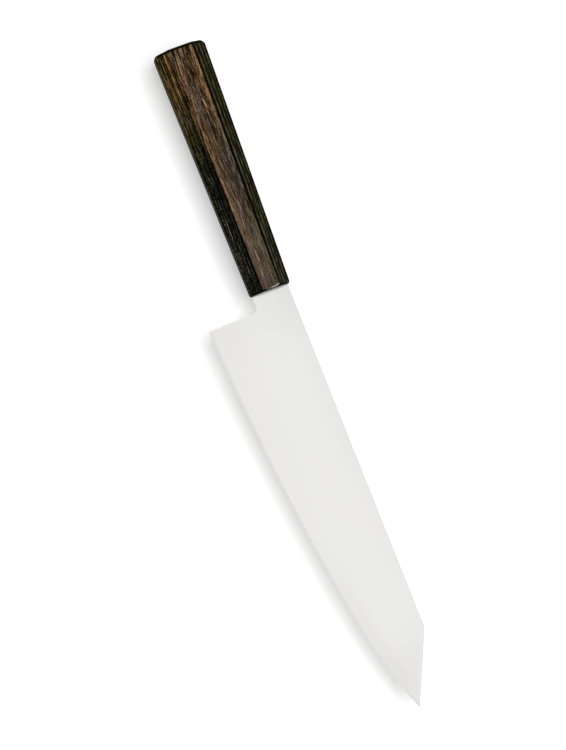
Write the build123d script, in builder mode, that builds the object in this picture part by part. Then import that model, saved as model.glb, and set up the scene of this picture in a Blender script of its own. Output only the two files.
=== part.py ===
from build123d import *
import os
from math import cos, hypot, pi, radians, sin, sqrt, tan

# A kiritsuke kitchen knife that lies on its side, in millimetres.
# +X runs along the handle towards the tip, +Y from the cutting edge towards the spine,
# and +Z out of the side that faces up. The blade's middle plane is level.

# Handle: one eight-sided block that narrows towards the blade
handle_length = 127.0
front_height = 20.4          # from the spine side to the edge side
front_width = 18.0           # from one flat side to the other
front_leg = 5.4              # of the facets at 45 degrees
butt_height = 26.2
butt_width = 22.0
butt_leg = 7.0
facet_radius = 0.6           # along the eight long edges
front_rim = 0.4              # narrow flat round the front face
butt_rim = 0.6
front_corner_cut = 1.05      # what the turned front takes off the corners, measured outwards
front_corner_length = 1.6    # and along the handle
front_corner_bulge = 0.1     # how far the turned curve stands out of a straight cut
butt_corner_cut = 1.5
butt_corner_length = 2.7
butt_corner_bulge = 0.3
turning_share = 0.5          # how far the turned curves run on past the corners

# Blade: outline
blade_length = 210.0         # from the heel to the tip, in a straight line
tip_lift = 31.0              # the tip's height over the heel
heel_drop = 35.35            # the heel, below the handle's axis
heel_setback = 8.6           # from the handle's front face to the heel
heel_lean = 2.1              # degrees, the back of the heel leans towards the handle
choil_radius = 2.5
spine_inset = 1.07           # the spine, inside the handle's outline where they meet
neck_inset = 0.75            # the neck's lower edge, likewise
spine_rise = 0.9             # degrees
point_length = 35.7          # from the corner of the spine to the tip, along the handle's axis
heel_slope = 2.9             # degrees, the cutting edge at the heel
edge_run_shares = (0.4285, 0.7576, 1.0)      # of the edge's run, where its arcs meet
edge_rise_shares = (0.2305, 0.546, 1.0)      # of the tip's lift, at the same places

# Blade: section, ground flat on both sides from the spine to the edge
neck_thickness = 2.2         # at the spine, where the handle ends
point_thickness = 1.4        # at the spine's corner
edge_thickness = 0.5         # at the heel, behind the cutting bevel
bevel_angle = 12.0           # degrees, each side of the cutting bevel
spine_break = 0.25           # chamfer along the spine
profile_stock = 2.0          # the blank, past the cutting edge before it is ground
side_stock = 0.4             # and past each ground side

# Tang, its slot in the handle, and the adhesive between them
tang_root_height = 10.0
tang_end_height = 7.0
tang_thickness = 1.5
tang_end_radius = 2.5
tang_overrun = 1.0           # into the neck, so that the two are one piece
glue_gap = 0.4               # each side of the tang
glue_pool = 4.0              # past the tang's end
butt_wall = 35.0             # solid wood behind the slot

# Outline of the blade, from the middle of the handle's front face
edge_run = sqrt(blade_length**2 - tip_lift**2)
spine_start = (0, front_height / 2 - spine_inset)
neck_start = (0, neck_inset - front_height / 2)
heel = (heel_setback, -heel_drop)
tip = (heel_setback + edge_run, tip_lift - heel_drop)
spine_end_x = tip[0] - point_length
spine_end = (spine_end_x, spine_start[1] + spine_end_x * tan(radians(spine_rise)))
choil = (heel_setback - (heel_drop + neck_start[1]) * tan(radians(heel_lean)), neck_start[1])
edge_joints = [
    (heel[0] + run * edge_run, heel[1] + rise * tip_lift)
    for run, rise in zip(edge_run_shares, edge_rise_shares)
]

# The origin is under the middle of the knife's bounding box, at its lowest level
overall_length = handle_length + tip[0]
top_y = max(butt_height / 2, spine_end[1])
front = (
    handle_length - overall_length / 2,
    (heel_drop - top_y) / 2,
    max(butt_width, front_width) / 2,
)
middle = Plane(origin=front)
across = Plane(origin=front, x_dir=(0, 1, 0), z_dir=(1, 0, 0))
lengthwise = Plane(origin=front, x_dir=(1, 0, 0), z_dir=(0, -1, 0))


def side_reach(turn, height, width, leg):
    # How far a side of the eight-sided section lies from the axis, counted from the spine side
    if turn % 4 == 0:
        return height / 2
    if turn % 4 == 2:
        return width / 2
    return (height / 2 + width / 2 - leg) / sqrt(2)


def outward_from_axis(turn):
    return Vector(0, cos(turn * pi / 4), sin(turn * pi / 4))


def planed_side(turn):
    # The plane of one of the handle's eight sides, with its normal out of the wood
    outward = outward_from_axis(turn)
    at_front = outward * side_reach(turn, front_height, front_width, front_leg)
    at_butt = outward * side_reach(turn, butt_height, butt_width, butt_leg)
    run = at_front - at_butt + Vector(handle_length, 0, 0)
    level = Vector(1, 0, 0).cross(outward)
    return Plane(origin=at_front + Vector(*front), x_dir=run, z_dir=level.cross(run))


def rim_sides(turn):
    # The narrow planes at 45 degrees where that side meets the front face and the butt
    outward = outward_from_axis(turn)
    at_front = outward * (side_reach(turn, front_height, front_width, front_leg) - front_rim)
    at_butt = outward * (side_reach(turn, butt_height, butt_width, butt_leg) - butt_rim)
    at_butt = at_butt - Vector(handle_length, 0, 0)
    return (
        Plane(origin=at_front + Vector(*front), z_dir=outward + Vector(1, 0, 0)),
        Plane(origin=at_butt + Vector(*front), z_dir=outward - Vector(1, 0, 0)),
    )


def edge_arcs(points, slope):
    # Arcs that run into each other through the points, and the direction in which they end
    heading = Vector(cos(radians(slope)), sin(radians(slope)))
    for start, end in zip(points, points[1:]):
        arc = TangentArc(start, end, tangent=heading)
        heading = arc % 1
    return heading


def ground_side(side):
    # The plane that one side of the blade is ground to, with its normal out of the steel
    spine_back = Vector(*spine_start, side * neck_thickness / 2)
    spine_front = Vector(*spine_end, side * point_thickness / 2)
    edge_back = Vector(*heel, side * edge_thickness / 2)
    normal = (spine_front - spine_back).cross(spine_back - edge_back) * side
    return Plane(
        origin=middle.from_local_coords(spine_back),
        x_dir=spine_front - spine_back,
        z_dir=normal,
    )


with BuildPart() as tang:
    with BuildSketch(middle) as tang_outline:
        with BuildLine():
            Polyline(
                (tang_overrun, tang_root_height / 2),
                (0, tang_root_height / 2),
                (glue_pool + butt_wall - handle_length, tang_end_height / 2),
                (glue_pool + butt_wall - handle_length, -tang_end_height / 2),
                (0, -tang_root_height / 2),
                (tang_overrun, -tang_root_height / 2),
                close=True,
            )
        make_face()
        fillet(tang_outline.vertices().group_by(Axis.X)[0], tang_end_radius)
    extrude(amount=tang_thickness / 2, both=True)

with BuildPart() as slot:
    with BuildSketch(across):
        SlotOverall(tang_root_height + 2 * glue_gap, tang_thickness + 2 * glue_gap)
    extrude(amount=butt_wall - handle_length)

# The envelope of the two cutting bevels: it comes to nothing along the cutting edge,
# and on its other sides it stays well clear of the blade.
half_blank = neck_thickness / 2 + side_stock
bevel_reach = half_blank / tan(radians(bevel_angle))
with BuildPart() as cutting_bevels:
    with BuildSketch(middle):
        with BuildLine():
            start_x = -2 * bevel_reach
            start_y = heel[1] + (start_x - heel[0]) * tan(radians(heel_slope))
            Line((start_x, start_y), heel)
            heading = edge_arcs([heel] + edge_joints, heel_slope)
            edge_end = Vector(*tip) + heading * 2 * bevel_reach
            Polyline(
                edge_end,
                (edge_end.X, spine_end[1] + 2 * bevel_reach),
                (start_x, spine_end[1] + 2 * bevel_reach),
                (start_x, start_y),
            )
            Line(tip, edge_end)
        make_face()
    extrude(amount=half_blank, taper=90 - bevel_angle)
    mirror(about=middle)

# The blade with its neck and tang, forged in one
point_run = Vector(*tip) - Vector(*spine_end)
blank_tip = Vector(*tip) + point_run.normalized() * profile_stock
blank_heel = (heel[0] + profile_stock * tan(radians(heel_lean)), heel[1] - profile_stock)
blank_joints = [(x, y - profile_stock) for x, y in edge_joints[:-1]]
with BuildPart() as blade:
    with BuildSketch(middle) as blank:
        with BuildLine():
            Polyline(blank_tip, spine_end, spine_start, neck_start, choil, blank_heel)
            edge_arcs([blank_heel] + blank_joints + [blank_tip], heel_slope)
        make_face()
        fillet(blank.vertices().sort_by_distance(choil)[0], choil_radius)
    extrude(amount=half_blank, both=True)
    for side in (1, -1):
        split(bisect_by=ground_side(side), keep=Keep.BOTTOM)
    add(cutting_bevels.part, mode=Mode.INTERSECT)
    spine_middle = middle.from_local_coords((Vector(*spine_start) + Vector(*spine_end)) / 2)
    spine_face = blade.faces().sort_by_distance(spine_middle)[0]
    chamfer(spine_face.edges().sort_by(SortBy.LENGTH)[-2:], spine_break)
    add(tang.part)
blade.part.label = "blade"

# The handle: its ends are turned, which rounds the corners of the eight-sided block
front_corner = hypot(front_height / 2, front_width / 2 - front_leg)
butt_corner = hypot(butt_height / 2, butt_width / 2 - butt_leg)
run_on = 1 + turning_share
block_size = 2 * max(front_corner, butt_corner)
with BuildPart() as handle:
    with BuildSketch(across):
        Rectangle(block_size, block_size)
    extrude(amount=-handle_length)
    for turn in range(8):
        split(bisect_by=planed_side(turn), keep=Keep.BOTTOM)
    fillet(handle.edges().filter_by(lambda edge: edge.length > handle_length / 2), facet_radius)
    for turn in range(8):
        for rim in rim_sides(turn):
            split(bisect_by=rim, keep=Keep.BOTTOM)
    with BuildSketch(lengthwise) as turned:
        with BuildLine():
            butt_turn = SagittaArc(
                (-handle_length, butt_corner - butt_corner_cut),
                (run_on * butt_corner_length - handle_length, butt_corner + turning_share * butt_corner_cut),
                butt_corner_bulge,
            )
            front_turn = SagittaArc(
                (-run_on * front_corner_length, front_corner + turning_share * front_corner_cut),
                (0, front_corner - front_corner_cut),
                front_corner_bulge,
            )
            Line(butt_turn @ 1, front_turn @ 0)
            Polyline(front_turn @ 1, (0, 0), (-handle_length, 0), butt_turn @ 0)
        make_face()
    revolve(axis=Axis(front, (1, 0, 0)), mode=Mode.INTERSECT)
    add(slot.part, mode=Mode.SUBTRACT)
handle.part.label = "handle"

# The cured adhesive that fills the slot round the tang
with BuildPart() as tang_adhesive:
    add(slot.part)
    add(tang.part, mode=Mode.SUBTRACT)
tang_adhesive.part.label = "tang_adhesive"

os.makedirs("parts", exist_ok=True)
for piece in (blade, handle, tang_adhesive):
    export_step(piece.part, f"parts/{piece.part.label}.step")
    print(piece.part.label, len(piece.part.solids()), "solid,", round(piece.part.volume), "mm3")
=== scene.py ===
from math import cos, pi, radians, sin, sqrt

import bmesh
import bpy
from mathutils import Matrix, Vector

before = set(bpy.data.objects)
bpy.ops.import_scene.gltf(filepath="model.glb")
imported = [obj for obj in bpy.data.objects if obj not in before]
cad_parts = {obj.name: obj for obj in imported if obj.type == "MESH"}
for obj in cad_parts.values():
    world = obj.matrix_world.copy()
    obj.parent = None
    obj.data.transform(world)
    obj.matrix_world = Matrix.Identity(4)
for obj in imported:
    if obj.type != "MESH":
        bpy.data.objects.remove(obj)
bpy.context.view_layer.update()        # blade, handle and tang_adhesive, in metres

print("frame loaded:", ", ".join(sorted(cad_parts)))

# Camera: nearly overhead, a little from the cutting edge's side
cameraSetup = {
    "aim": (-0.00375, 0.00224, 0.011),
    "distance": 1.6,
    "leanToTip": 2.0,        # degrees from straight overhead
    "leanToEdge": 6.92,
    "turn": 69.127,          # degrees, of the picture's frame about the line of sight
    "lens": 157.07,
    "sensor": 36.0,
    "clip": (0.05, 50.0),
}


def addCamera(setup):
    data = bpy.data.cameras.new("photoCamera")
    camera = bpy.data.objects.new("photoCamera", data)
    bpy.context.scene.collection.objects.link(camera)
    back = Vector((sin(radians(setup["leanToTip"])), -sin(radians(setup["leanToEdge"])), 0))
    back.z = sqrt(1 - back.length_squared)
    alongHandle = Vector((1, 0, 0))
    alongHandle = (alongHandle - back * alongHandle.dot(back)).normalized()
    toSpine = back.cross(alongHandle)
    turn = radians(setup["turn"])
    right = alongHandle * cos(turn) + toSpine * sin(turn)
    up = toSpine * cos(turn) - alongHandle * sin(turn)
    place = Vector(setup["aim"]) + back * setup["distance"]
    camera.matrix_world = Matrix((
        (right.x, up.x, back.x, place.x),
        (right.y, up.y, back.y, place.y),
        (right.z, up.z, back.z, place.z),
        (0, 0, 0, 1),
    ))
    data.sensor_width = setup["sensor"]
    data.lens = setup["lens"]
    data.clip_start, data.clip_end = setup["clip"]
    bpy.context.scene.camera = camera


addCamera(cameraSetup)
bpy.context.scene.view_settings.view_transform = "Standard"
print("camera set")


class Number:
    # What a socket carries, so that sums of masks and noises are written as sums
    def __init__(self, shader, socket):
        self.shader = shader
        self.socket = socket

    def apply(self, operation, *values):
        return self.shader.node("ShaderNodeMath", {"operation": operation}, values)

    def __add__(self, other):
        return self.apply("ADD", self, other)

    def __radd__(self, other):
        return self.apply("ADD", other, self)

    def __sub__(self, other):
        return self.apply("SUBTRACT", self, other)

    def __rsub__(self, other):
        return self.apply("SUBTRACT", other, self)

    def __mul__(self, other):
        return self.apply("MULTIPLY", self, other)

    def __rmul__(self, other):
        return self.apply("MULTIPLY", other, self)

    def __truediv__(self, other):
        return self.apply("DIVIDE", self, other)

    def __rtruediv__(self, other):
        return self.apply("DIVIDE", other, self)

    def __abs__(self):
        return self.apply("ABSOLUTE", self)

    def orMore(self, other):
        return self.apply("MAXIMUM", self, other)


class Shader:
    # The nodes of a material or of the world, and the dictionary of the piece that they are for
    def __init__(self, owner, setup):
        self.owner = owner
        self.setup = setup
        owner.use_nodes = True
        self.tree = owner.node_tree
        self.tree.nodes.clear()

    def node(self, kind, settings=None, values=(), output=0):
        # values is a list in the order of the sockets, or a dictionary by name or number
        made = self.tree.nodes.new(kind)
        for name, value in (settings or {}).items():
            if name == "stops":
                self.setStops(made.color_ramp, value)
            else:
                setattr(made, name, value)
        pairs = values.items() if isinstance(values, dict) else enumerate(values)
        for name, value in pairs:
            self.feed(made.inputs[name], value)
        return Number(self, made.outputs[output]) if made.outputs else None

    def setStops(self, ramp, stops):
        while len(ramp.elements) < len(stops):
            ramp.elements.new(1)
        for element, (place, tone) in zip(ramp.elements, stops):
            element.position = place
            element.color = (*tone, 1) if isinstance(tone, tuple) else (tone, tone, tone, 1)

    def feed(self, socket, value):
        if isinstance(value, Number):
            self.tree.links.new(value.socket, socket)
        elif isinstance(value, tuple) and len(value) == 3 and socket.type == "RGBA":
            socket.default_value = (*value, 1)
        else:
            socket.default_value = value

    def step(self, value, low, high):
        # Goes smoothly from 0 at low to 1 at high
        settings = {"interpolation_type": "SMOOTHSTEP"}
        values = {"Value": value, "From Min": low, "From Max": high}
        return self.node("ShaderNodeMapRange", settings, values)

    def fade(self, value, name):
        # The same between the two places that the piece has under that name
        return self.step(value, *self.setup["fades"][name])

    def ramp(self, value, name):
        return self.node("ShaderNodeValToRGB", {"stops": self.setup[name]}, (value,))

    def mix(self, share, first, second, blend="MIX"):
        # The numbers are those of a Mix node's colour sockets
        settings = {"data_type": "RGBA", "blend_type": blend, "clamp_factor": True}
        return self.node("ShaderNodeMix", settings, {0: share, 6: first, 7: second}, output=2)

    def tint(self, colour, hue, share=1.0):
        return self.mix(share, colour, hue, "MULTIPLY")

    def noise(self, place, cells, detail, roughness=0.5):
        # cells is how many there are to a unit of length along each axis
        stretched = self.node("ShaderNodeMapping", {}, {"Vector": place, "Scale": cells})
        values = {"Vector": stretched, "Scale": 1.0, "Detail": detail, "Roughness": roughness}
        return self.node("ShaderNodeTexNoise", {}, values)

    def grain(self, place, name):
        # Noise with its contrast raised, from the numbers that the piece has under that name
        cells, detail, roughness, spread = self.setup["grain"][name]
        return self.step(self.noise(place, cells, detail, roughness), 0.5 - spread, 0.5 + spread)

    def split(self, vector):
        parts = self.node("ShaderNodeSeparateXYZ", {}, (vector,)).socket.node
        return [Number(self, parts.outputs[axis]) for axis in ("X", "Y", "Z")]

    def join(self, x, y, z):
        return self.node("ShaderNodeCombineXYZ", {}, (x, y, z))

    def inMillimetres(self, origin):
        # Object coordinates, counted from a place on the piece
        place = self.node("ShaderNodeTexCoord", {}, output="Object")
        moved = self.node("ShaderNodeVectorMath", {"operation": "SUBTRACT"}, (place, origin))
        return self.node("ShaderNodeVectorMath", {"operation": "SCALE"}, {0: moved, "Scale": 1000.0})

    def background(self):
        # 1 for the rays that show the background: to the camera, off gloss and through glass
        path = self.node("ShaderNodeLightPath").socket.node
        seen, glossy, through = (
            Number(self, path.outputs[name])
            for name in ("Is Camera Ray", "Is Glossy Ray", "Is Transmission Ray")
        )
        return seen.orMore(glossy).orMore(through)

    def bump(self, height):
        values = {"Strength": self.setup["bump"], "Distance": self.setup["bumpDepth"], "Height": height}
        return self.node("ShaderNodeBump", {}, values)

    def finish(self, values):
        surface = self.node("ShaderNodeBsdfPrincipled", {}, values)
        self.node("ShaderNodeOutputMaterial", {}, (surface,))
        return self.owner


def dress(node, material):
    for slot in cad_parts[node].material_slots:
        slot.material = material


# Steel of the blade, ground flat and satin finished. Places are in millimetres, x towards the tip and
# y towards the spine, from where the spine leaves the handle
steel = {
    "origin": (-0.04465, 0.020255, 0.011),  # that place, in metres
    "roughness": 0.16,
    "roughnessSpread": 0.05,                # between the satin lines
    "lineCells": (7.0, 0.05, 1.0),          # to a millimetre: the lines run from the spine to the edge
    "lineDetail": 3.0,
    "bump": 0.3,
    "bumpDepth": 0.0000015,
    "colour": (0.855, 0.848, 0.827),
    "cool": (0.842, 0.842, 0.830),          # in soft clouds
    "warm": (0.822, 0.811, 0.775),          # low on the blade, by the heel
    "dark": (0.69, 0.69, 0.68),             # between the lines, under the spine, and as painted shade on the neck by the handle
    "tipColour": (0.68, 0.664, 0.617),      # at the tip and along the belly
    "pointColour": (0.97, 0.965, 0.945),    # in a line along the straight side of the point
    "bevelColour": (0.752, 0.749, 0.725),
    "spineColour": (0.50, 0.50, 0.49),      # of the broken edge along the spine
    # How much each of them counts
    "shares": {
        "lines": 0.16,
        "heel": 0.8,
        "tip": 0.26,
        "neck": 0.20,
        "neckBySpine": 0.14,
        "underSpine": 0.17,
        "belly": 0.27,
        "pointLine": 0.11,
    },
    # Each tone goes from 0 at its first place to 1 at its second
    "fades": {
        "heel": (-18.0, -42.0),
        "tip": (168.0, 196.0),
        "neck": (38.0, 2.0),
        "neckBySpine": (-18.0, -6.0),
        "underSpine": (-10.0, -1.0),
        "alongSpine": (190.0, 90.0),
        "nearEdge": (9.0, 1.0),
        "bellyStart": (110.0, 180.0),
        "bellyEnd": (214.0, 198.0),
        "pointLine": (0.7, 0.3),
        "bevel": (0.004, 0.02),             # inside the flat grind
        "spineBreak": (-0.6, -0.4),
    },
    # Cells to a millimetre along each axis, detail, roughness and spread
    "grain": {
        "clouds": ((0.02, 0.035, 0.05), 3.0, 0.5, 0.12),
    },
    "heelSlope": 0.02,
    "tipSlope": 0.4,
    "spineRise": 0.0157,
    # The ground side: half the thickness at the origin, and how it falls along and across
    "sideHalf": 1.1,
    "fallAlong": 0.002508,
    "fallAcross": 0.018625,
    # The cutting edge runs near this curve: its drop at x = 0, its slope there and how it bends up
    "edgeDrop": 45.6,
    "edgeRise": 0.042,
    "edgeCurve": 0.000476,
    # The straight side of the point: the share of each direction and the distance of its line
    "pointSide": (0.4157, 0.9096, 77.65),
    "pointLine": 1.25,                      # the light line, inside it
}


def makeSteel(setup):
    s = Shader(bpy.data.materials.new("satinSteel"), setup)
    shares = setup["shares"]
    place = s.inMillimetres(setup["origin"])
    x, y, z = s.split(place)
    lines = s.noise(place, setup["lineCells"], setup["lineDetail"])
    colour = s.mix(s.grain(place, "clouds"), setup["colour"], setup["cool"])
    overHeel = s.fade(y + x * setup["heelSlope"], "heel")
    colour = s.mix(overHeel * shares["heel"], colour, setup["warm"])
    colour = s.mix((1 - lines) * shares["lines"], colour, setup["dark"])
    tip = s.fade(x + y * setup["tipSlope"], "tip")
    colour = s.mix(tip * shares["tip"], colour, setup["tipColour"])
    fromSpine = y - x * setup["spineRise"]
    # Painted shade of the handle on the neck, darker by the spine
    neck = s.fade(x, "neck") * (shares["neck"] + s.fade(y, "neckBySpine") * shares["neckBySpine"])
    underSpine = s.fade(fromSpine, "underSpine") * s.fade(x, "alongSpine")
    colour = s.mix(neck + underSpine * shares["underSpine"], colour, setup["dark"])
    fromEdge = y - setup["edgeRise"] * x - setup["edgeCurve"] * x * x + setup["edgeDrop"]
    belly = s.fade(fromEdge, "nearEdge") * s.fade(x, "bellyStart") * s.fade(x, "bellyEnd")
    colour = s.mix(belly * shares["belly"], colour, setup["tipColour"])
    alongShare, acrossShare, reach = setup["pointSide"]
    fromPointSide = reach - x * alongShare - y * acrossShare
    pointLine = s.fade(abs(fromPointSide - setup["pointLine"]), "pointLine")
    colour = s.mix(pointLine * shares["pointLine"], colour, setup["pointColour"])
    ground = setup["sideHalf"] - x * setup["fallAlong"] + y * setup["fallAcross"]
    bevel = s.fade(ground - abs(z), "bevel")
    colour = s.mix(bevel, colour, setup["bevelColour"])
    colour = s.mix(bevel * s.fade(fromSpine, "spineBreak"), colour, setup["spineColour"])
    return s.finish({
        "Base Color": colour,
        "Metallic": 1.0,
        "Roughness": setup["roughness"] + (lines - 0.5) * setup["roughnessSpread"],
        "Normal": s.bump(lines),
    })


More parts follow.
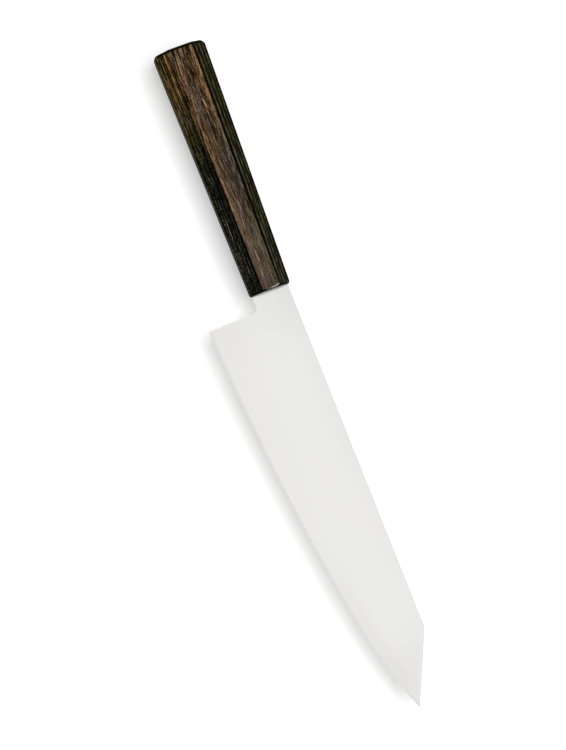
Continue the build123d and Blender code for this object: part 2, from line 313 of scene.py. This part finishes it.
# Laminated wood of the handle: brown on its two flat faces, nearly black along the glued edges.
# Places are in millimetres, x from the butt, y from the axis towards the spine and z up from it
wood = {
    "origin": (-0.17165, 0.011125, 0.011),  # middle of the butt's end, in metres
    "length": 127.0,
    "buttHalf": (13.1, 11.0),               # half the height and half the width
    "frontHalf": (10.2, 9.0),
    "middleHalf": (11.65, 10.0),            # the grain is laid out as if it were so all along
    "roughness": 0.5,
    "roughnessSpread": 0.12,
    "shine": 0.012,
    "shineTint": (1.0, 0.93, 0.40),
    "bump": 0.4,
    "bumpDepth": 0.00004,
    "sealRoughness": 0.3,                   # of the sealed front face
    "sealIor": 1.2,
    # Tones from the darkest grain to the lightest
    "faceTones": (
        (0.0, (0.0008, 0.0007, 0.0004)),
        (0.17, (0.0120, 0.0080, 0.0030)),
        (0.27, (0.029, 0.0170, 0.0070)),
        (0.35, (0.050, 0.0310, 0.0150)),
        (0.46, (0.089, 0.058, 0.034)),
        (0.61, (0.162, 0.106, 0.062)),
        (0.78, (0.272, 0.180, 0.108)),
        (1.0, (0.456, 0.332, 0.20)),
    ),
    "sideTones": (
        (0.0, (0.0003, 0.0003, 0.0002)),
        (0.08, (0.0034, 0.0033, 0.0008)),
        (0.16, (0.0106, 0.0108, 0.0031)),
        (0.25, (0.0252, 0.0256, 0.0102)),
        (0.34, (0.044, 0.0435, 0.0220)),
        (0.5, (0.098, 0.092, 0.053)),
        (0.72, (0.220, 0.192, 0.118)),
        (1.0, (0.45, 0.38, 0.25)),
    ),
    "warmTint": (1.10, 0.97, 0.74),         # of some streaks, and of the others
    "coolTint": (0.91, 1.01, 1.22),
    "faceGreen": (0.95, 1.05, 0.94),        # likewise, on the faces
    "faceRose": (1.05, 0.95, 1.06),
    "sideGreen": (0.90, 1.10, 0.72),        # and on the sides
    "sideRose": (1.10, 0.91, 1.26),
    "rosyTint": (0.98, 1.02, 1.16),         # of the faces, towards the front
    "oliveTint": (0.87, 1.08, 1.16),        # and by the spine there
    "greyTint": (0.98, 1.07, 1.22),         # and by the edge, near the blade
    "tanTint": (1.05, 0.77, 0.54),          # of the sides, by the butt
    "duskTint": (0.96, 1.00, 1.02),         # and by the front, on the edge's side
    "bluish": (0.0004, 0.0005, 0.0036),     # on top of that, in its cooler streaks
    "alikeTint": (1.35, 1.25, 1.1),         # of the part of a side that looks like the face
    "endDark": (0.0025, 0.0022, 0.0015),    # of the end grain
    "endLight": (0.040, 0.030, 0.017),
    "paintedRimShade": (0.0015, 0.0015, 0.001),   # painted shade on the turned edges round both ends
    "paintedHighlightColour": (0.66, 0.58, 0.53),       # painted highlight on the turned edge at the front
    # How light the layers are, by height over the middle of the wood
    "spineLayers": (
        (0.0, 0.04), (0.06, 0.24), (0.12, 0.02), (0.18, 0.20), (0.24, 0.02), (0.30, 0.18),
        (0.34, 0.0), (0.45, 0.0), (0.48, 0.24), (0.505, 0.30), (0.53, 0.18), (0.56, 0.02),
        (0.595, 0.0), (0.625, 0.18), (0.67, 0.34), (0.70, 0.22), (0.735, 0.02), (0.775, 0.03),
        (0.81, 0.22), (0.853, 0.38), (0.88, 0.24), (0.905, 0.02),
    ),
    "edgeLayers": (
        (0.0, 0.03), (0.06, 0.20), (0.12, 0.02), (0.18, 0.18), (0.24, 0.02), (0.30, 0.14),
        (0.34, 0.0), (0.37, 0.08), (0.40, 0.32), (0.43, 0.10), (0.46, 0.0), (0.48, 0.06),
        (0.51, 0.30), (0.54, 0.10), (0.57, 0.18), (0.61, 0.42), (0.64, 0.08), (0.69, 0.0),
        (0.72, 0.10), (0.755, 0.36), (0.79, 0.04), (0.83, 0.0), (0.865, 0.22), (0.90, 0.06),
        (0.93, 0.24), (0.955, 0.0),
    ),
    "buttLayers": (
        (0.0, 0.10), (0.08, 0.32), (0.16, 0.06), (0.24, 0.28), (0.31, 0.06), (0.37, 0.36),
        (0.41, 0.22), (0.465, 0.70), (0.505, 0.16), (0.554, 0.52), (0.60, 0.30), (0.67, 0.26),
        (0.72, 0.34), (0.772, 0.78), (0.81, 0.26), (0.85, 0.30), (0.875, 0.12), (0.90, 0.14),
        (0.935, 0.62), (0.965, 0.66), (0.998, 0.40),
    ),
    # Slow wave of the grain: its cells and detail, and how far it carries each pattern
    "waveCells": (0.03, 0.12, 0.12),
    "waveDetail": 2.0,
    "waves": {
        "across": 2.4,
        "up": 0.8,
        "figures": 1.2,
        "layers": 0.4,
    },
    # Cells to a millimetre along each axis, detail, roughness and spread
    "grain": {
        "streaks": ((0.018, 0.36, 0.36), 3.0, 0.5, 0.18),
        "bands": ((0.045, 0.8, 0.8), 2.0, 0.5, 0.14),
        "fibres": ((0.10, 1.5, 1.5), 3.0, 0.65, 0.10),
        "threads": ((0.17, 2.5, 2.5), 2.0, 0.6, 0.12),
        "ruled": ((0.012, 1.25, 0.2), 1.0, 0.5, 0.10),
        "warm": ((0.05, 0.8, 0.8), 2.0, 0.5, 0.12),
        "green": ((0.09, 1.0, 1.0), 2.0, 0.5, 0.12),
        "pores": ((0.9, 2.4, 2.4), 2.0, 0.6, 0.12),
        "dashes": ((0.2, 0.5, 0.9), 3.0, 0.5, 0.14),
        "lines": ((0.02, 0.2, 1.7), 1.0, 0.5, 0.12),
    },
    # Faces: how light they are by the butt, how much lighter by the front, and what the grain adds
    "faceLevel": 0.404,
    "faceGain": 0.046,
    "faceCalm": 0.57,                       # of the grain, lost by the front
    "faceWeights": {"bands": 0.04, "fibres": 0.23, "threads": 0.47, "pores": 0.26},
    "faceStreaks": 0.09,
    "faceRuled": 0.17,
    "ruledGreen": 0.8,
    # Sides: what the grain adds to the layers, and how much more at their light and dark ends
    "sideLayers": 0.62,
    "sideDashes": 0.64,
    "sideWeights": {"bands": 0.03, "fibres": 0.15, "threads": 0.20, "pores": 0.14},
    "sideLines": 0.10,
    "endLines": 0.20,
    "lightEndGrain": 0.5,
    "darkEndGrain": 0.4,
    "darkEndPores": 0.26,
    "darkEndDrop": 0.05,                    # how much darker the layers are by the blade
    "darkEndLift": 0.055,                   # and how much less so further back
    "darkEndDim": 0.13,
    "spineLayerShift": 0.05,                # near the front
    # How much each tint counts
    "shares": {
        "tan": 0.6,
        "byEdge": 0.25,
        "glint": 0.45,
        "buttHue": 0.45,
        "darkHue": 0.6,
        "lightGreen": 0.6,
        "darkGreen": 0.3,
        "ends": 0.95,
        # painted highlight along the turned edge at the front
        "wornFaint": 0.3,
        "wornStrong": 0.6,
    },
    # How far the streaks move where the light end and the part like the face stop, and the bands
    # where the olive starts
    "lightWander": 14.0,
    "alikeWander": 10.0,
    "oliveWander": 2.0,
    # Each goes from 0 at its first place to 1 at its second
    "fades": {
        "spineSide": (-1.0, 1.0),
        "upper": (0.0, 1.0),
        "figure": (1.4, 0.1),               # in half sizes of the figure, squared
        "ruledAlong": (100.0, 50.0),
        "ruledAcross": (2.5, -1.0),
        "edgeAlong": (102.0, 84.0),
        "edgeAcross": (-2.0, -4.0),
        "tanAlong": (64.0, 36.0),
        "tanAcross": (2.4, 4.4),
        "glintAlong": (7.0, 4.0),           # both from the middle of the light streak
        "glintAcross": (1.2, 0.6),
        "buttHue": (60.0, 30.0),
        "rosyAlong": (12.0, 44.0),
        "oliveAlong": (28.0, 48.0),
        "oliveAcross": (0.0, 3.0),
        "greyAlong": (94.0, 110.0),
        "greyAcross": (1.5, -1.0),
        "spineLayerShift": (85.0, 110.0),
        "lightEnd": (66.0, 20.0),
        "darkEndLift": (104.0, 84.0),
        "spineSeam": (9.25, 9.4),
        "spineSeamAlong": (126.0, 98.0),
        "edgeSeam": (9.55, 9.7),
        "edgeSeamAlong": (36.0, 56.0),
        "faceDepth": (0.04, 0.01),
        "faceBottom": (-5.73, -5.5),
        "faceTop": (5.3, 5.1),
        "alikeUp": (9.2, 9.7),
        "alikeAlong": (46.0, 24.0),
        # Where the end grain and the painted shade of the turned edges lie, at both ends
        "buttEnd": (1.6, 1.3),
        "frontEnd": (0.8, 0.65),
        "frontEndAcross": (1.5, -1.5),
        "endFace": (12.0, 4.0),             # by the distances from both ends, multiplied
        "seal": (0.06, 0.02),
        # The painted highlight along the turned edge at the front
        "worn": (0.32, 0.1),
        "wornFaint": (-4.0, -0.5),
        "wornStrong": (-0.5, 1.6),
    },
    "glint": (32.5, 1.7),                   # middle of the light streak
    "faceSlopes": (0.007, 0.0025),          # of the lower and upper border of the face
    "endLayers": 2.0,                       # of the layers and pores in the end grain
    "endPores": 0.4,
    "frontEndWider": 0.3,                   # how much wider the painted shade round the front is, towards the edge
    # The painted highlight line: its distance from the front, and where and how fast it bends back
    "paintedHighlightPlace": 0.72,
    "paintedHighlightBend": (1.0, 0.045),
    # Darker and lighter figure of the face that lies upwards: middle, half length and half width,
    # slope, and how much lighter it is
    "figures": (
        (5.0, 3.8, 8.0, 1.3, 0.0, 0.10),
        (5.0, 2.0, 6.0, 1.0, 0.0, -0.15),
        (5.0, -4.2, 8.0, 1.1, 0.0, -0.18),
        (5.5, 0.8, 4.0, 0.9, 0.0, -0.07),
        (22.0, 4.6, 34.0, 1.2, 0.0, 0.14),
        (12.0, 1.7, 8.0, 1.0, 0.0, -0.17),
        (18.0, 0.45, 18.0, 0.6, 0.0, -0.13),
        (18.0, -1.45, 16.0, 0.4, 0.0, -0.16),
        (18.0, -3.2, 18.0, 0.6, 0.0, 0.18),
        (30.8, 1.45, 3.2, 0.28, 0.13, 0.72),
        (34.6, 1.25, 2.4, 0.22, 0.12, 0.46),
        (31.0, 0.85, 5.0, 0.28, 0.12, -0.24),
        (26.0, 2.3, 7.0, 0.35, 0.10, -0.17),
        (44.0, 2.0, 16.0, 1.8, 0.03, -0.12),
        (50.0, -2.3, 16.0, 0.7, 0.0, -0.10),
        (58.0, -4.4, 28.0, 0.9, 0.0, 0.15),
        (63.0, 0.1, 18.0, 1.0, 0.0, -0.07),
        (72.0, 1.8, 10.0, 1.0, 0.0, -0.06),
        (72.0, 3.4, 20.0, 2.0, 0.0, -0.06),
        (80.0, -4.3, 18.0, 0.8, 0.0, 0.09),
        (91.0, -2.8, 15.0, 2.4, 0.0, 0.08),
        (82.0, -0.6, 4.0, 0.35, 0.0, 0.34),
        (106.0, -2.4, 22.0, 1.6, 0.0, 0.05),
        (107.0, 3.6, 12.0, 1.6, 0.0, 0.06),
        (109.5, -1.2, 4.0, 0.32, 0.0, 0.26),
        (118.0, -1.95, 3.0, 0.5, 0.0, 0.24),
    ),
}


def weighed(grain, weights):
    return sum(grain[name] * weight for name, weight in weights.items())


def figured(w, setup, x, y):
    # How much lighter the single figures make the face
    lighter = 0
    for alongMiddle, acrossMiddle, halfLength, halfWidth, slope, gain in setup["figures"]:
        along = (x - alongMiddle) / halfLength
        across = (y - acrossMiddle - (x - alongMiddle) * slope) / halfWidth
        lighter = lighter + w.fade(along * along + across * across, "figure") * gain
    return lighter


def faceOfWood(w, setup, x, y, z, wave, grain, hue, byEdge):
    # The two flat faces
    share = x / setup["length"]
    calm = 1 - share * setup["faceCalm"]
    tone = setup["faceLevel"] + share * setup["faceGain"] + grain["streaks"] * setup["faceStreaks"]
    tone = tone + weighed(grain, setup["faceWeights"]) * calm
    ruled = grain["ruled"] * w.fade(x, "ruledAlong")
    tone = tone + ruled * w.fade(y, "ruledAcross") * setup["faceRuled"]
    tone = tone + figured(w, setup, x, y + wave * setup["waves"]["figures"]) * w.fade(z, "upper")
    colour = w.ramp(tone, "faceTones")
    colour = w.tint(colour, hue)
    colour = w.tint(colour, hue, w.fade(x, "buttHue") * setup["shares"]["buttHue"])
    green = grain["green"] - ruled * setup["ruledGreen"]
    colour = w.tint(colour, w.mix(green, setup["faceRose"], setup["faceGreen"]))
    colour = w.tint(colour, setup["rosyTint"], w.fade(x, "rosyAlong") * (1 - byEdge))
    olive = w.fade(y + grain["bands"] * setup["oliveWander"], "oliveAcross") * w.fade(x, "oliveAlong")
    colour = w.tint(colour, setup["oliveTint"], olive)
    return w.tint(colour, setup["greyTint"], w.fade(x, "greyAlong") * w.fade(y, "greyAcross"))


def sideOfWood(w, setup, x, z, layers, grain, hue, onSpineSide, lightEnd):
    # The other six sides, which show the layers
    shares = setup["shares"]
    onEdgeSide = 1 - onSpineSide
    darkEnd = onEdgeSide * (1 - lightEnd)
    rough = 1 + lightEnd * setup["lightEndGrain"] + darkEnd * setup["darkEndGrain"]
    tone = layers * (setup["sideLayers"] + grain["dashes"] * setup["sideDashes"])
    tone = tone + weighed(grain, setup["sideWeights"]) * rough
    tone = tone + darkEnd * grain["pores"] * setup["darkEndPores"]
    tone = tone + grain["lines"] * (setup["sideLines"] + (lightEnd + darkEnd) * setup["endLines"])
    tone = tone - darkEnd * (setup["darkEndDrop"] - w.fade(x, "darkEndLift") * setup["darkEndLift"])
    spineSeam = w.fade(abs(z), "spineSeam") * onSpineSide * w.fade(x, "spineSeamAlong")
    edgeSeam = w.fade(abs(z), "edgeSeam") * onEdgeSide * w.fade(x, "edgeSeamAlong")
    tone = tone * (1 - spineSeam.orMore(edgeSeam)) * (1 - darkEnd * setup["darkEndDim"])
    colour = w.ramp(tone, "sideTones")
    colour = w.tint(colour, setup["tanTint"], lightEnd)
    colour = w.tint(colour, hue, 1 - darkEnd * shares["darkHue"])
    colour = w.tint(colour, setup["duskTint"], darkEnd)
    colour = w.mix(darkEnd * (1 - grain["warm"]), colour, setup["bluish"], "ADD")
    green = w.mix(grain["green"], setup["sideRose"], setup["sideGreen"])
    greenShare = 1 - lightEnd * shares["lightGreen"] - darkEnd * shares["darkGreen"]
    return w.tint(colour, green, greenShare)


def makeWood(setup):
    w = Shader(bpy.data.materials.new("laminatedWood"), setup)
    shares = setup["shares"]
    x, y, z = w.split(w.inMillimetres(setup["origin"]))
    # Straightened, as if the handle did not taper
    share = x / setup["length"]
    buttY, buttZ = setup["buttHalf"]
    frontY, frontZ = setup["frontHalf"]
    middleY, middleZ = setup["middleHalf"]
    y = y * middleY / (buttY + share * (frontY - buttY))
    z = z * middleZ / (buttZ + share * (frontZ - buttZ))
    straight = w.join(x, y, z)
    wave = w.noise(straight, setup["waveCells"], setup["waveDetail"]) - 0.5
    grown = w.join(x, y + wave * setup["waves"]["across"], z + wave * setup["waves"]["up"])
    # Grain that darkens and lightens is centred on 0, and what picks a tone goes from 0 to 1
    grain = {name: w.grain(grown, name) for name in ("warm", "green")}
    grain["dashes"] = w.grain(straight, "dashes")
    for name in ("streaks", "bands", "fibres", "threads", "ruled"):
        grain[name] = w.grain(grown, name) - 0.5
    for name in ("pores", "lines"):
        grain[name] = w.grain(straight, name) - 0.5
    # Warm and cool streaks, warmer by the butt, along the edge and round the light streak
    byEdge = w.fade(y, "edgeAcross") * w.fade(x, "edgeAlong")
    tan = w.fade(x, "tanAlong") * w.fade(y, "tanAcross")
    alongGlint, acrossGlint = setup["glint"]
    glint = w.fade(abs(x - alongGlint), "glintAlong") * w.fade(abs(y - acrossGlint), "glintAcross")
    warm = grain["warm"] + tan * shares["tan"] + byEdge * shares["byEdge"] + glint * shares["glint"]
    hue = w.mix(warm, setup["coolTint"], setup["warmTint"])
    face = faceOfWood(w, setup, x, y, z, wave, grain, hue, byEdge)
    # The layers, which are lighter by the butt on the edge's side
    onSpineSide = w.fade(y, "spineSide")
    height = (abs(z) + wave * setup["waves"]["layers"]) / middleZ
    height = height - w.fade(x, "spineLayerShift") * onSpineSide * setup["spineLayerShift"]
    edgeLayers = w.ramp(height, "edgeLayers")
    lightEnd = w.fade(x + grain["streaks"] * setup["lightWander"], "lightEnd") * (1 - onSpineSide)
    layers = w.mix(lightEnd, edgeLayers, w.ramp(height, "buttLayers"))
    layers = w.mix(onSpineSide, layers, w.ramp(height, "spineLayers"))
    side = sideOfWood(w, setup, x, z, layers, grain, hue, onSpineSide, lightEnd)
    # Where the face is, and the part of the side by the butt that looks like it
    bottomSlope, topSlope = setup["faceSlopes"]
    isFace = w.fade(middleZ - abs(z), "faceDepth")
    isFace = isFace * w.fade(y - x * bottomSlope, "faceBottom") * w.fade(y + x * topSlope, "faceTop")
    alike = w.fade(abs(z), "alikeUp") * w.fade(x + grain["streaks"] * setup["alikeWander"], "alikeAlong")
    alike = alike * (1 - onSpineSide) * (1 - isFace)
    face = w.tint(face, setup["alikeTint"], alike)
    isFace = isFace.orMore(alike)
    colour = w.mix(isFace, side, face)
    # End grain at both ends, with painted shade on the turned edge round it
    fromFront = setup["length"] - x
    frontEnd = fromFront - w.fade(y, "frontEndAcross") * setup["frontEndWider"]
    ends = w.fade(x, "buttEnd").orMore(w.fade(frontEnd, "frontEnd"))
    endTone = edgeLayers * setup["endLayers"] + grain["pores"] * setup["endPores"]
    endGrain = w.mix(endTone, setup["endDark"], setup["endLight"])
    endFace = w.fade(x.orMore(0) * fromFront, "endFace")
    colour = w.mix(ends * shares["ends"], colour, w.mix(endFace, setup["paintedRimShade"], endGrain))
    # A painted highlight: a light line along the turned edge of the front, strongest by the spine
    bendStart, bendRate = setup["paintedHighlightBend"]
    bend = (y - bendStart).orMore(0)
    fromPaintedHighlight = fromFront - setup["paintedHighlightPlace"] - bend * bend * bendRate
    worn = w.fade(y, "wornFaint") * shares["wornFaint"] + w.fade(y, "wornStrong") * shares["wornStrong"]
    worn = worn * w.fade(abs(fromPaintedHighlight), "worn") * isFace * w.fade(z, "upper")
    return w.finish({
        "Base Color": w.mix(worn, colour, setup["paintedHighlightColour"]),
        "Roughness": setup["roughness"] + grain["fibres"] * setup["roughnessSpread"],
        "Specular IOR Level": setup["shine"],
        "Specular Tint": setup["shineTint"],
        "Coat Weight": w.fade(fromFront, "seal"),
        "Coat Roughness": setup["sealRoughness"],
        "Coat IOR": setup["sealIor"],
        "Normal": w.bump(grain["fibres"]),
    })


# Cured adhesive round the tang
adhesive = {
    "origin": (0.0, 0.0, 0.0),
    "colour": (0.02, 0.016, 0.011),
    "pale": (0.035, 0.027, 0.018),          # in clouds
    "cloudCells": (0.9, 0.9, 0.9),          # to a millimetre
    "cloudDetail": 2.0,
    "roughness": 0.3,
    "roughnessSpread": 0.2,
}


def makeAdhesive(setup):
    a = Shader(bpy.data.materials.new("curedAdhesive"), setup)
    cloud = a.noise(a.inMillimetres(setup["origin"]), setup["cloudCells"], setup["cloudDetail"])
    return a.finish({
        "Base Color": a.mix(cloud, setup["colour"], setup["pale"]),
        "Roughness": setup["roughness"] + cloud * setup["roughnessSpread"],
    })


dress("blade", makeSteel(steel))
dress("handle", makeWood(wood))
dress("tang_adhesive", makeAdhesive(adhesive))
print("materials made")

# Floor, world and lamps
studio = {
    "floorSize": 12.0,
    "floorColour": (0.80, 0.80, 0.80),
    "floorLift": 0.42,         # seen on top of the lit floor
    "worldLight": 0.32,        # on the knife
    "worldSeen": 1.0,
    "white": (1, 1, 1),
}
lamps = {
    "overheadSoftbox": {
        "place": (-0.3, 0.9, 2.4),
        "aim": (0, 0, 0),
        "size": 2.2,
        "radiance": 2.95,
        "reflected": False,
    },
    "keySoftbox": {
        "place": (1.1, 1.0, 1.5),
        "aim": (0, 0, 0),
        "size": 0.45,
        "radiance": 8.0,
        "reflected": True,
    },
}


def makeFloor(setup):
    mesh = bpy.data.meshes.new("floor")
    bm = bmesh.new()
    bmesh.ops.create_grid(bm, x_segments=1, y_segments=1, size=setup["floorSize"] / 2)
    bm.to_mesh(mesh)
    bm.free()
    floor = bpy.data.objects.new("floor", mesh)
    bpy.context.scene.collection.objects.link(floor)
    f = Shader(bpy.data.materials.new("paleFloor"), setup)
    lit = f.node("ShaderNodeBsdfDiffuse", {}, {"Color": setup["floorColour"]})
    lift = f.background() * setup["floorLift"]
    glow = f.node("ShaderNodeEmission", {}, {"Color": setup["white"], "Strength": lift})
    both = f.node("ShaderNodeAddShader", {}, (lit, glow))
    f.node("ShaderNodeOutputMaterial", {}, (both,))
    mesh.materials.append(f.owner)


def makeWorld(setup):
    world = bpy.data.worlds.new("studio")
    bpy.context.scene.world = world
    w = Shader(world, setup)
    strength = setup["worldLight"] + w.background() * (setup["worldSeen"] - setup["worldLight"])
    light = w.node("ShaderNodeBackground", {}, {"Color": setup["white"], "Strength": strength})
    w.node("ShaderNodeOutputWorld", {}, (light,))


def addLamp(name, setup):
    data = bpy.data.lights.new(name, "AREA")
    data.shape = "SQUARE"
    data.size = setup["size"]
    data.energy = setup["radiance"] * setup["size"] ** 2 * pi
    lamp = bpy.data.objects.new(name, data)
    bpy.context.scene.collection.objects.link(lamp)
    lamp.visible_glossy = setup["reflected"]
    place = Vector(setup["place"])
    lamp.location = place
    lamp.rotation_euler = (Vector(setup["aim"]) - place).to_track_quat("-Z", "Y").to_euler()


makeFloor(studio)
makeWorld(studio)
for name, setup in lamps.items():
    addLamp(name, setup)
print("studio lit")
